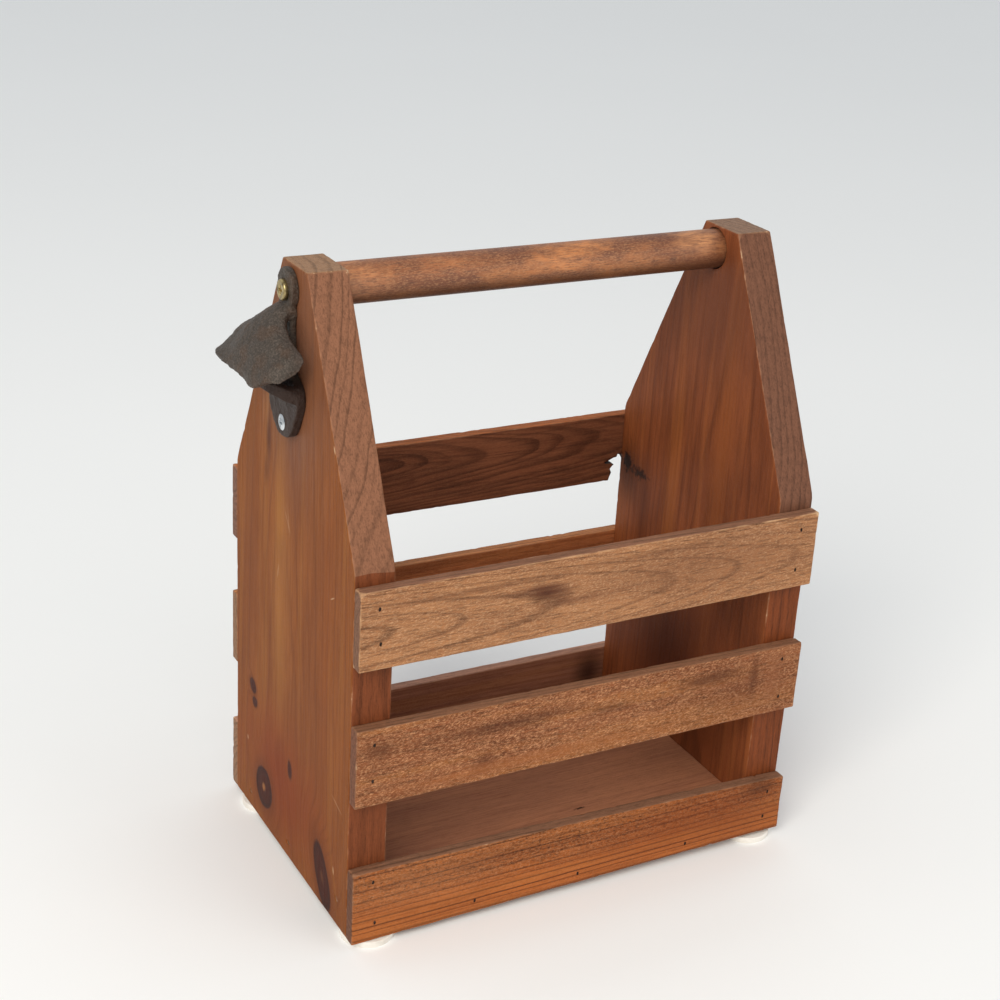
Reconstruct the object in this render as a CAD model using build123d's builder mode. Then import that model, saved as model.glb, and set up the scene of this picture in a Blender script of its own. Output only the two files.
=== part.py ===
"""Wooden bottle caddy: two end panels, a base board, six slats, a round handle and a bottle
opener cast in iron, screwed to the outside of the left end panel.

X runs along the handle, from the opener's end to the plain end. Y runs across, front to back.
Z is up. The origin is in the middle of the footprint, on the surface that the felt pads stand on.
"""

import os
from math import cos, radians, sin, tan

from build123d import *

# Boards
body_length = 238.0
board_width = 140.0
board_thickness = 19.0
base_thickness = 19.0
panel_height = 299.0
shoulder_height = 184.0
ridge_width = 27.0
panel_edge_round = 0.8
base_edge_round = 0.5

# Slats, which lie on the panels' edges, and how high each row starts above the wood's underside
slat_thickness = 6.4
slat_width = 38.0
middle_slat_rise = 72.5
top_slat_rise = 140.5
slat_corner_round = 2.2
slat_edge_round = 0.9

# Handle, held in sockets below the ridge and a little behind its middle
handle_diameter = 19.0
handle_drop = 11.5
handle_setback = 4.0
handle_edge_round = 0.6
socket_depth = 12.0
socket_gap = 0.5

# Brads that hold the slats, set just below the surface
brad_diameter = 1.4
brad_head_diameter = 2.4
brad_head_thickness = 0.7
brad_length = 22.0
brad_sunk = 0.4

# Nails through the end panels into the base board's end grain
nail_diameter = 2.0
nail_head_diameter = 3.2
nail_head_thickness = 0.9
nail_length = 38.0
nail_sunk = 0.3

# Felt pads, stuck on by eye: the front pair peeps out in front and the back left one to the left
pad_diameter = 25.4
pad_thickness = 3.0
pad_edge_round = 0.5
pad_overhang = 1.8
pad_set_in = 8.0

# Opener's back plate: an upper tab, a neck, and a lower tab that widens at the ledge. It is
# screwed on nearly in line with the handle
opener_setback = 3.0
plate_thickness = 3.3
upper_tab_radius = 8.8
neck_width = 13.0
plate_width = 35.5
plate_rise = 22.0
lower_tab_thickness = 4.2
lower_tab_drop = 6.0
screw_spacing = 60.5

# Opener's hood, which leans out over the ledge, and how far its top lies below the upper screw
hood_width = 54.0
hood_reach = 26.0
hood_height = 32.0
hood_drop = 6.0
hood_wall = 3.0

# Opener's ledge, which catches the cap's rim
ledge_width = 35.5
ledge_reach = 17.0
ledge_thickness = 7.0
ledge_drop = 37.5
ledge_dish = 2.0
ledge_rim = 3.0

# Upper screw of the opener, which runs on into the handle's end
upper_screw_diameter = 4.6
upper_screw_head_diameter = 9.4
upper_screw_head_height = 2.1
upper_screw_head_round = 0.9
upper_screw_length = 32.0

# Lower screw of the opener, with a raised countersunk head
lower_screw_diameter = 3.8
lower_screw_head_diameter = 7.4
lower_screw_head_height = 0.8
lower_screw_length = 19.0
countersink_angle = 90

# Cross recess of both screws
screw_point_length = 4.0
recess_width = 1.2
recess_length = 4.6
recess_depth = 1.3

# A hole is wider than what runs through it by this much all round
shank_gap = 0.05

# Cuts run past the face that they open by this much
overrun = 1.0

# Places that follow from the sizes
left_face = (hood_reach - body_length) / 2
right_face = left_face + body_length
left_inner = left_face + board_thickness
right_inner = right_face - board_thickness
bay_length = right_inner - left_inner
bay_middle = (left_inner + right_inner) / 2
middle = pad_overhang / 2
front_edge = middle - board_width / 2
back_edge = middle + board_width / 2
front_face = front_edge - slat_thickness
back_face = back_edge + slat_thickness
wood_foot = pad_thickness
ridge_top = wood_foot + panel_height
shoulder_top = wood_foot + shoulder_height
handle_y = middle + handle_setback
handle_z = ridge_top - handle_drop
opener_y = middle + opener_setback
lower_screw_z = handle_z - screw_spacing
left_socket_floor = left_inner - socket_depth
right_socket_floor = right_inner + socket_depth
brad_bite = brad_length - slat_thickness + brad_sunk
nail_bite = nail_length - board_thickness + nail_sunk
slat_rises = {"bottom": 0, "middle": middle_slat_rise, "top": top_slat_rise}

# Where the brads are driven, from the slat's end as shares of the panel's thickness, and up
# from the slat's lower edge as shares of its width
left_brad_shares = {
    "top": ((0.47, 0.77), (0.52, 0.33)),
    "middle": ((0.45, 0.82), (0.43, 0.34)),
    "bottom": ((0.60, 0.25), (0.53, 0.84)),
}
right_brad_shares = {
    "top": ((0.51, 0.80), (0.54, 0.25)),
    "middle": ((0.58, 0.77), (0.55, 0.22)),
    "bottom": ((0.54, 0.29), (0.49, 0.67)),
}
# Brads of the bottom slats into the base board: along the bay, and up the board's edge
base_brad_shares = ((0.22, 0.36), (0.50, 0.34), (0.81, 0.37))
# Nails into the base board's ends: across from the middle as shares of board_width, and up the
# board's edge
nail_shares = ((-0.42, 0.73), (0.0, 0.44), (0.36, 0.44))

# The upper back slat is broken away at its lower edge beside the right end panel. The outline is
# in shares of break_length from the panel's inner face, and of slat_width up from the edge
break_length = 9.8
break_shares = (
    (-0.70, 0.0), (-0.56, 0.13), (-0.65, 0.18), (-0.40, 0.24), (-0.97, 0.27), (-1.0, 0.30),
    (-0.69, 0.32), (-0.26, 0.355), (-0.22, 0.395), (0.10, 0.40), (0.45, 0.25), (0.50, 0.0),
)

# Plan sections of the hood, from its top down: shares of hood_height up from the lip, of
# hood_reach and of hood_width, and the section's squareness
hood_section_shares = (
    (1.00, 0.15, 0.25, 2.5),
    (0.92, 0.36, 0.30, 2.4),
    (0.80, 0.51, 0.46, 2.5),
    (0.67, 0.65, 0.68, 2.6),
    (0.55, 0.76, 0.90, 2.8),
    (0.42, 0.86, 1.00, 3.4),
    (0.27, 0.94, 0.99, 5.0),
    (0.13, 1.00, 0.97, 7.0),
    (0.00, 0.92, 0.90, 7.0),
)
# How far inside its outer surface the hood's hollow lies below it, as a share of hood_wall
hollow_drop_share = 0.8
# Directions, as shares of a half turn, in which a plan section's curve has its points
section_turn_shares = (-0.5, -0.38, -0.25, -0.12, 0.0, 0.12, 0.25, 0.38, 0.5)
# The hood's lower and rear edges in side view, from the lip's tongue to the neck: shares of
# hood_reach and hood_height
hood_rim_shares = (
    (1.0, 0.0), (0.78, 0.0), (0.72, 0.15), (0.58, 0.20), (0.38, 0.31), (0.25, 0.44),
    (0.28, 0.60), (0.26, 0.72), (0.18, 0.81), (0.0, 0.86),
)
# The lip in front view, from the middle of its tongue to the corner: shares of half of hood_width
# and of hood_height
hood_lip_shares = ((0.0, 0.0), (0.30, 0.03), (0.55, 0.09), (0.83, 0.135), (1.0, 0.14))
# One side of the lower tab, from its foot up: shares of half of plate_width and of plate_rise
plate_side_shares = (
    (0.0, 0.0), (0.33, 0.04), (0.58, 0.2), (0.84, 0.56), (1.0, 1.0), (0.84, 1.24), (0.5, 1.38),
    (0.34, 1.5),
)
# The ledge's side view, from its front corner back to the plate: shares of ledge_reach and
# ledge_thickness
ledge_side_shares = ((0.80, 1.0), (1.0, 0.60), (0.94, 0.40), (0.30, -0.30), (0.0, -0.30))

os.makedirs("parts", exist_ok=True)


def write(piece, name):
    """Label a finished piece and write it to its own file."""
    piece.part.label = name
    export_step(piece.part, f"parts/{name}.step")


def slat_low(level):
    """Height of a slat's lower edge."""
    return wood_foot + slat_rises[level]


def brad_places(level, board):
    """Where a row's brads enter a board, as (x, z) on the slat's face."""
    low = slat_low(level)
    if board == "left":
        shares, start, step = left_brad_shares[level], left_face, board_thickness
    elif board == "right":
        shares, start, step = right_brad_shares[level], right_face, -board_thickness
    elif level == "bottom":
        return [
            (left_inner + along * bay_length, low + up * base_thickness)
            for along, up in base_brad_shares
        ]
    else:
        return []
    return [(start + across * step, low + up * slat_width) for across, up in shares]


def all_brads(level):
    """Every brad of one slat."""
    return [place for board in ("left", "base", "right") for place in brad_places(level, board)]


def nail_places():
    """Where the nails stand on an end panel, as (y, z)."""
    return [
        (middle + across * board_width, wood_foot + up * base_thickness) for across, up in nail_shares
    ]


def bore(plane, points, diameter, amount):
    """Round holes from points on a plane, by a signed amount along the plane's normal."""
    with BuildSketch(plane) as rounds:
        with Locations(*points):
            Circle(diameter / 2 + shank_gap)
    extrude(rounds.sketch, amount=amount, mode=Mode.SUBTRACT)


def bore_brads(board):
    """The holes that the slats' brads make in a board's front and back edges."""
    places = [place for level in slat_rises for place in brad_places(level, board)]
    bore(Plane.XZ.offset(-front_edge), places, brad_diameter, -brad_bite)
    bore(Plane.XZ.offset(-back_edge), places, brad_diameter, brad_bite)


def spike(origin, outward, head_diameter, head_thickness, diameter, length, point):
    """A pointed pin with a flat head, turned about outward, with its head's top at origin."""
    across = Vector(0, 0, 1).cross(Vector(*outward))
    plane = Plane(origin=origin, x_dir=across, z_dir=across.cross(Vector(*outward)))
    with BuildSketch(plane) as outline:
        with BuildLine():
            Polyline(
                (0, 0), (head_diameter / 2, 0), (head_diameter / 2, -head_thickness),
                (diameter / 2, -head_thickness), (diameter / 2, point - length), (0, -length),
                close=True,
            )
        make_face()
    revolve(outline.sketch, axis=Axis(origin, outward))


def cross_recess(x, y, z):
    """The crossed slots in a screw head whose top faces -X at (x, y, z)."""
    with BuildSketch(Plane(origin=(x, y, z), z_dir=(-1, 0, 0))) as slots:
        Rectangle(recess_width, recess_length)
        Rectangle(recess_length, recess_width)
    extrude(slots.sketch, amount=-recess_depth, mode=Mode.SUBTRACT)


def end_panel(outer, into, board):
    """One end panel, from its outer face; into is 1 or -1, the way from there to the bay."""
    inner = outer + into * board_thickness
    half_ridge = ridge_width / 2
    with BuildSketch(Plane.YZ.offset(outer)) as outline:
        with BuildLine():
            Polyline(
                (front_edge, wood_foot), (front_edge, shoulder_top), (middle - half_ridge, ridge_top),
                (middle + half_ridge, ridge_top), (back_edge, shoulder_top), (back_edge, wood_foot),
                close=True,
            )
        make_face()
    panel = extrude(outline.sketch, amount=into * board_thickness)
    fillet(panel.edges(), radius=panel_edge_round)
    bore(Plane.YZ.offset(inner), [(handle_y, handle_z)], handle_diameter + 2 * socket_gap,
         -into * socket_depth)
    face = Plane.YZ.offset(outer)
    bore(face, nail_places(), nail_head_diameter, into * (nail_sunk + nail_head_thickness))
    bore(face, nail_places(), nail_diameter, into * (board_thickness + overrun))
    bore_brads(board)


# End panels; the left one also has the holes of the opener's screws
with BuildPart() as end_panel_left:
    end_panel(left_face, 1, "left")
    outside = Plane.YZ.offset(left_face)
    bore(outside, [(opener_y, handle_z)], upper_screw_diameter, board_thickness - socket_depth + overrun)
    bore(outside, [(opener_y, lower_screw_z)], lower_screw_diameter,
         lower_screw_length - lower_tab_thickness + shank_gap)
write(end_panel_left, "end_panel_left")

with BuildPart() as end_panel_right:
    end_panel(right_face, -1, "right")
write(end_panel_right, "end_panel_right")

# Base board, between the panels, with the nails' holes in its ends
with BuildPart() as base_board:
    with BuildSketch(Plane.XY.offset(wood_foot)):
        with Locations((bay_middle, middle)):
            Rectangle(bay_length, board_width)
    extrude(amount=base_thickness)
    fillet(base_board.edges().filter_by(Axis.X), radius=base_edge_round)
    bore_brads("base")
    bore(Plane.YZ.offset(left_inner), nail_places(), nail_diameter, nail_bite)
    bore(Plane.YZ.offset(right_inner), nail_places(), nail_diameter, -nail_bite)
write(base_board, "base_board")

# Slats, three in front and three behind, each with its brads
for side, inward, inner_y in (("front", 1, front_edge), ("back", -1, back_edge)):
    outer_y = inner_y - inward * slat_thickness
    inner_plane = Plane.XZ.offset(-inner_y)
    outer_plane = Plane.XZ.offset(-outer_y)
    for level in slat_rises:
        low = slat_low(level)
        with BuildPart() as slat:
            with BuildSketch(inner_plane):
                with Locations((bay_middle, low + slat_width / 2)):
                    Rectangle(body_length, slat_width)
            extrude(amount=inward * slat_thickness)
            fillet(slat.edges().filter_by(Axis.Y), radius=slat_corner_round)
            outer_edges = slat.faces().sort_by(Axis.Y)[0 if side == "front" else -1].edges()
            fillet(outer_edges, radius=slat_edge_round)
            bore(outer_plane, all_brads(level), brad_diameter, -inward * (slat_thickness + overrun))
            bore(outer_plane, all_brads(level), brad_head_diameter,
                 -inward * (brad_sunk + brad_head_thickness))
            if (side, level) == ("back", "top"):
                outline = [
                    (right_inner + along * break_length, low + up * slat_width)
                    for along, up in break_shares
                ]
                first, last = outline[0], outline[-1]
                with BuildSketch(outer_plane):
                    with BuildLine():
                        Polyline((first[0], low - overrun), *outline, (last[0], low - overrun),
                                 close=True)
                    make_face()
                extrude(amount=slat_thickness + overrun, both=True, mode=Mode.SUBTRACT)
        write(slat, f"{side}_slat_{level}")

        with BuildPart() as brads:
            for x, z in all_brads(level):
                spike((x, outer_y + inward * brad_sunk, z), (0, -inward, 0), brad_head_diameter,
                      brad_head_thickness, brad_diameter, brad_length, brad_diameter)
        write(brads, f"{side}_brads_{level}")

# Handle, from the floor of one socket to the floor of the other, with the upper screw's hole
with BuildPart() as handle:
    with BuildSketch(Plane.YZ.offset(left_socket_floor)):
        with Locations((handle_y, handle_z)):
            Circle(handle_diameter / 2)
    extrude(amount=right_socket_floor - left_socket_floor)
    fillet(handle.edges(), radius=handle_edge_round)
    bore(Plane.YZ.offset(left_socket_floor), [(opener_y, handle_z)], upper_screw_diameter,
         upper_screw_length - plate_thickness - (board_thickness - socket_depth) + shank_gap)
write(handle, "handle")

# Nails of the end panels
for name, face, outward in (("left", left_face, -1), ("right", right_face, 1)):
    with BuildPart() as nails:
        for y, z in nail_places():
            spike((face - outward * nail_sunk, y, z), (outward, 0, 0), nail_head_diameter,
                  nail_head_thickness, nail_diameter, nail_length, nail_diameter)
    write(nails, f"panel_nails_{name}")

# Felt pads
pad_radius = pad_diameter / 2
pad_places = {
    "front_left": (left_face + pad_radius, front_face + pad_radius - pad_overhang),
    "front_right": (right_face - pad_radius, front_face + pad_radius - pad_overhang),
    "back_left": (left_face + pad_radius - pad_overhang, back_face - pad_radius - pad_set_in),
    "back_right": (right_face - pad_radius, back_face - pad_radius),
}
for name, place in pad_places.items():
    with BuildPart() as pad:
        with BuildSketch():
            with Locations(place):
                Circle(pad_radius)
        extrude(amount=pad_thickness)
        fillet(pad.edges().sort_by(Axis.Z)[-1:], radius=pad_edge_round)
    write(pad, f"felt_pad_{name}")


def hood_section(reach, half_width, squareness, height):
    """A plan section of the hood: a square-shouldered arch that stands on the panel's face."""
    points = []
    for share in section_turn_shares:
        turn = radians(share * 180)
        out = reach * abs(cos(turn)) ** (2 / squareness)
        aside = half_width * abs(sin(turn)) ** (2 / squareness)
        points.append((left_face - out, opener_y + (aside if share > 0 else -aside)))
    with BuildSketch(Plane.XY.offset(height)) as section:
        with BuildLine():
            Spline(*points)
            Line(points[-1], points[0])
        make_face()
    return section.sketch


# Hood of the opener: a hollow canopy, trimmed to its side view
lip_z = handle_z - hood_drop - hood_height


def hood_loft(thinner, lower):
    """The hood's outer shape, or its hollow, which is thinner and lower by the given amounts."""
    loft([
        hood_section(
            out * hood_reach - thinner, wide * hood_width / 2 - thinner, square,
            lip_z + up * hood_height - lower,
        )
        for up, out, wide, square in hood_section_shares
        if out * hood_reach > 2 * thinner
    ])


with BuildPart() as hollow:
    hood_loft(hood_wall, hollow_drop_share * hood_wall)

with BuildPart() as hood:
    hood_loft(0, 0)
    add(hollow.part, mode=Mode.SUBTRACT)
    rim = [(left_face - out * hood_reach, lip_z + up * hood_height) for out, up in hood_rim_shares]
    front, top = left_face - hood_reach, lip_z + hood_height + overrun
    with BuildSketch(Plane.XZ.offset(-opener_y)):
        with BuildLine():
            Polyline(*rim, (left_face, top), (front, top), close=True)
        make_face()
    extrude(amount=hood_width, both=True, mode=Mode.INTERSECT)
    near_lip = [
        (opener_y - wide * hood_width / 2, lip_z + up * hood_height) for wide, up in hood_lip_shares
    ]
    far_lip = [(2 * opener_y - y, z) for y, z in reversed(near_lip[1:])]
    below = lip_z - overrun
    with BuildSketch(Plane.YZ.offset(left_face)):
        with BuildLine():
            lip = Spline(*far_lip, *near_lip)
            Polyline(lip @ 1, (near_lip[-1][0] - overrun, near_lip[-1][1]),
                     (near_lip[-1][0] - overrun, below), (far_lip[0][0] + overrun, below),
                     (far_lip[0][0] + overrun, far_lip[0][1]), lip @ 0)
        make_face()
    extrude(amount=-(hood_reach + overrun), mode=Mode.SUBTRACT)

# Outline of the lower tab in front view, from one side of its top round its foot to the other
tab_foot = lower_screw_z - lower_tab_drop
near_side = [
    (opener_y + wide * plate_width / 2, tab_foot + up * plate_rise) for wide, up in plate_side_shares
]
far_side = [(2 * opener_y - y, z) for y, z in reversed(near_side[1:])]
with BuildSketch(Plane.YZ.offset(left_face)) as tab_outline:
    with BuildLine():
        side = Spline(*far_side, *near_side)
        Line(side @ 1, side @ 0)
    make_face()

# Ledge of the opener: a half ellipse in plan, trimmed to its side view and to the tab's outline,
# with a dished top
ledge_top = handle_z - ledge_drop
with BuildPart() as ledge:
    side_view = [
        (left_face - out * ledge_reach, ledge_top + (up - 1) * ledge_thickness)
        for out, up in ledge_side_shares
    ]
    with BuildSketch(Plane.XZ.offset(-opener_y)):
        with BuildLine():
            Polyline((left_face, ledge_top), *side_view, close=True)
        make_face()
    extrude(amount=ledge_width, both=True)
    with BuildSketch(Plane.XY.offset(ledge_top)):
        with Locations((left_face, opener_y)):
            Ellipse(ledge_reach, ledge_width / 2)
    extrude(amount=2 * ledge_thickness, both=True, mode=Mode.INTERSECT)
    extrude(tab_outline.sketch, amount=-(ledge_reach + overrun), mode=Mode.INTERSECT)
    with BuildSketch(Plane.XY.offset(ledge_top)):
        with Locations((left_face, opener_y)):
            Ellipse(ledge_reach - ledge_rim, ledge_width / 2 - ledge_rim)
    extrude(amount=-ledge_dish, mode=Mode.SUBTRACT)

# Opener in one casting: back plate, hood and ledge, with a plain hole in the upper tab and a
# countersunk one in the lower tab
with BuildPart() as bottle_opener:
    extrude(tab_outline.sketch, amount=-lower_tab_thickness)
    neck_foot = near_side[-1][1] - lower_tab_thickness
    with BuildSketch(Plane.YZ.offset(left_face)):
        with Locations((opener_y, (neck_foot + handle_z) / 2)):
            Rectangle(neck_width, handle_z - neck_foot)
        with Locations((opener_y, handle_z)):
            Circle(upper_tab_radius)
    extrude(amount=-plate_thickness)
    add(hood.part)
    add(ledge.part)
    bore(Plane.YZ.offset(left_face), [(opener_y, handle_z)], upper_screw_diameter,
         -(plate_thickness + overrun))
    with Locations(Plane(origin=(left_face - lower_tab_thickness, opener_y, lower_screw_z),
                         z_dir=(-1, 0, 0))):
        CounterSinkHole(
            radius=lower_screw_diameter / 2 + shank_gap,
            counter_sink_radius=lower_screw_head_diameter / 2 + shank_gap,
            depth=lower_tab_thickness + overrun, counter_sink_angle=countersink_angle,
        )
write(bottle_opener, "bottle_opener")

# Upper screw of the opener, with a flat pan head
with BuildPart() as opener_screw_upper:
    head_top = left_face - plate_thickness - upper_screw_head_height
    spike((head_top, opener_y, handle_z), (-1, 0, 0), upper_screw_head_diameter,
          upper_screw_head_height, upper_screw_diameter,
          upper_screw_length + upper_screw_head_height, screw_point_length)
    fillet(opener_screw_upper.edges().sort_by(Axis.X)[0], radius=upper_screw_head_round)
    cross_recess(head_top, opener_y, handle_z)
write(opener_screw_upper, "opener_screw_upper")

# Lower screw of the opener, with a raised countersunk head
with BuildPart() as opener_screw_lower:
    head_radius = lower_screw_head_diameter / 2
    shank_radius = lower_screw_diameter / 2
    cone_depth = (head_radius - shank_radius) / tan(radians(countersink_angle / 2))
    tab_x = left_face - lower_tab_thickness
    with BuildSketch(Plane.XY.offset(lower_screw_z)):
        with BuildLine():
            RadiusArc((tab_x - lower_screw_head_height, opener_y), (tab_x, opener_y + head_radius),
                      (head_radius ** 2 + lower_screw_head_height ** 2) / (2 * lower_screw_head_height))
            Polyline(
                (tab_x, opener_y + head_radius), (tab_x + cone_depth, opener_y + shank_radius),
                (tab_x + lower_screw_length - screw_point_length, opener_y + shank_radius),
                (tab_x + lower_screw_length, opener_y),
                (tab_x - lower_screw_head_height, opener_y),
            )
        make_face()
    revolve(axis=Axis((tab_x, opener_y, lower_screw_z), (1, 0, 0)))
    cross_recess(tab_x - lower_screw_head_height, opener_y, lower_screw_z)
write(opener_screw_lower, "opener_screw_lower")
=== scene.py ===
import math
from functools import partial

import bmesh
import bpy
import numpy as np
from mathutils import Matrix, Vector, noise


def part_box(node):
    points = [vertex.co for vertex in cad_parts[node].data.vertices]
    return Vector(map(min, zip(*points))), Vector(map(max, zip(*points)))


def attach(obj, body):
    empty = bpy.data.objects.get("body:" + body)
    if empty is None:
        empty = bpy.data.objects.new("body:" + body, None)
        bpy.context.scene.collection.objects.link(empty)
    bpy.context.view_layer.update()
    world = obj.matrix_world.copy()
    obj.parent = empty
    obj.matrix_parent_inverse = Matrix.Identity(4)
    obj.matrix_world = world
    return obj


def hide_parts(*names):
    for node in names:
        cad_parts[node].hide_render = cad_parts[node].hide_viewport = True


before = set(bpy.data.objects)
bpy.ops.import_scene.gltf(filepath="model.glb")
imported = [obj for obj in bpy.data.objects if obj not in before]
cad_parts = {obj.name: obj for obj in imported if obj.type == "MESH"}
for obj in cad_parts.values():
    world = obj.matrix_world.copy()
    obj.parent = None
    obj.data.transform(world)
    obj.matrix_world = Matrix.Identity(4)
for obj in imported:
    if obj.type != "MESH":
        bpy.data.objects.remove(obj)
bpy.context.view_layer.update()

MM = 0.001

# The camera of the photograph, in millimetres and degrees
CAMERA_PLACE = (-391.9, -695.6, 520.7)
CAMERA_AZIMUTH, CAMERA_ELEVATION, CAMERA_ROLL = -29.40, 23.27, 3.48
CAMERA_LENS = 65.66

SMOOTH = {"interpolation_type": "SMOOTHSTEP"}
SEEDED = {"noise_dimensions": "4D"}
NODE_STARTS = ("ShaderNode", "GeometryNode", "FunctionNode", "Node")


def linear(code):
    """An sRGB hex colour as the linear colour that a socket takes."""
    parts = [int(code[i:i + 2], 16) / 255 for i in (1, 3, 5)]
    return [p / 12.92 if p <= 0.04045 else ((p + 0.055) / 1.055) ** 2.4 for p in parts] + [1.0]


def add(tree, kind, inputs=(), operation=None, **settings):
    """Add a node. Its kind is written without its first words, such as ShaderNode.

    Inputs go by name or number, or in order from the first. Each is given a value or a hex
    colour, or is linked to a socket or to a node's first output.
    """
    made = tree.nodes.new(next(start + kind for start in NODE_STARTS
                               if hasattr(bpy.types, start + kind)))
    if operation:
        made.operation = operation
    for key, value in settings.items():
        setattr(made, key, value)
    for key, value in inputs.items() if isinstance(inputs, dict) else enumerate(inputs):
        if isinstance(value, bpy.types.Node):
            value = next(out for out in value.outputs if out.enabled)
        if isinstance(value, bpy.types.NodeSocket):
            tree.links.new(value, made.inputs[key])
        else:
            coded = isinstance(value, str) and value.startswith("#")
            made.inputs[key].default_value = linear(value) if coded else value
    return made


def corners(node):
    """A node's lowest and highest corner in millimetres."""
    return [np.array(corner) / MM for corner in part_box(node)]


def shown(name, data):
    """A new object in the scene."""
    made = bpy.data.objects.new(name, data)
    bpy.context.scene.collection.objects.link(made)
    return made


def modified(piece, kind, **settings):
    """Put a modifier on an object."""
    modifier = piece.modifiers.new(kind.lower(), kind)
    for key, value in settings.items():
        setattr(modifier, key, value)
    return modifier


def settled(piece):
    """Turn what the modifiers make into the object's own plain mesh."""
    graph = bpy.context.evaluated_depsgraph_get()
    mesh = bpy.data.meshes.new_from_object(piece.evaluated_get(graph), depsgraph=graph)
    piece.modifiers.clear()
    piece.data = mesh
    return piece


def grown(name, tree, values, points=()):
    """An object with the mesh that a tree makes, from the given points, in millimetres."""
    start = bpy.data.meshes.new(name)
    start.from_pydata([tuple(p) for p in points], [], [])
    piece = shown(name, start)
    modifier = modified(piece, "NODES", node_group=tree)
    for item in tree.interface.items_tree:
        if item.item_type == "SOCKET" and item.in_out == "INPUT" and item.name in values:
            modifier[item.identifier] = values[item.name]
    return settled(piece)


def cut(piece, cutter):
    """Take a cutter's shape out of an object, and delete the cutter."""
    modified(piece, "BOOLEAN", operation="DIFFERENCE", solver="EXACT",
             material_mode="TRANSFER", object=cutter)
    settled(piece)
    bpy.data.objects.remove(cutter)


def merged(node):
    """A CAD node's loose triangles, joined."""
    mesh = bmesh.new()
    mesh.from_mesh(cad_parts[node].data)
    bmesh.ops.remove_doubles(mesh, verts=mesh.verts, dist=0.001 * MM)
    return mesh


def object_from(name, mesh):
    """An object with a bmesh's shape."""
    data = bpy.data.meshes.new(name)
    mesh.to_mesh(data)
    mesh.free()
    return shown(name, data)


# ---- geometry node trees

CROWDING = 0.72  # how far a board's cells crowd towards its edges
EDGE_ZONE = 2.5  # millimetres from an edge where its finish wears
TIP_RADIUS = 0.05  # millimetres, at a pin's point


def new_tree(name, **inputs):
    """A geometry tree with named inputs, a call that adds nodes, and the inputs' values."""
    tree = bpy.data.node_groups.new(name, "GeometryNodeTree")
    tree.interface.new_socket("Geometry", in_out="OUTPUT", socket_type="NodeSocketGeometry")
    for kind, labels in inputs.items():
        for label in labels:
            tree.interface.new_socket(label, in_out="INPUT", socket_type="NodeSocket" + kind)
    put = partial(add, tree)
    return tree, put, put("GroupInput").outputs


def end_tree(put, shape, material):
    """End a tree: its shape made real, in metres, with its material."""
    real = put("RealizeInstances", [shape])
    sized = put("Transform", {"Geometry": real, "Scale": (MM,) * 3})
    finish = put("SetMaterial", {"Geometry": sized, "Material": material})
    put("GroupOutput", [finish])


def shaken(put, place, seed, scale, detail, reach):
    """A smooth random shift at each place, up to half its reach each way."""
    random = put("TexNoise", {"Vector": place, "W": seed, "Scale": scale, "Detail": detail},
                 **SEEDED)
    off = put("VectorMath", (random.outputs["Color"], (-0.5,) * 3))
    return put("VectorMath", {0: off, "Scale": reach}, "SCALE")


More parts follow.
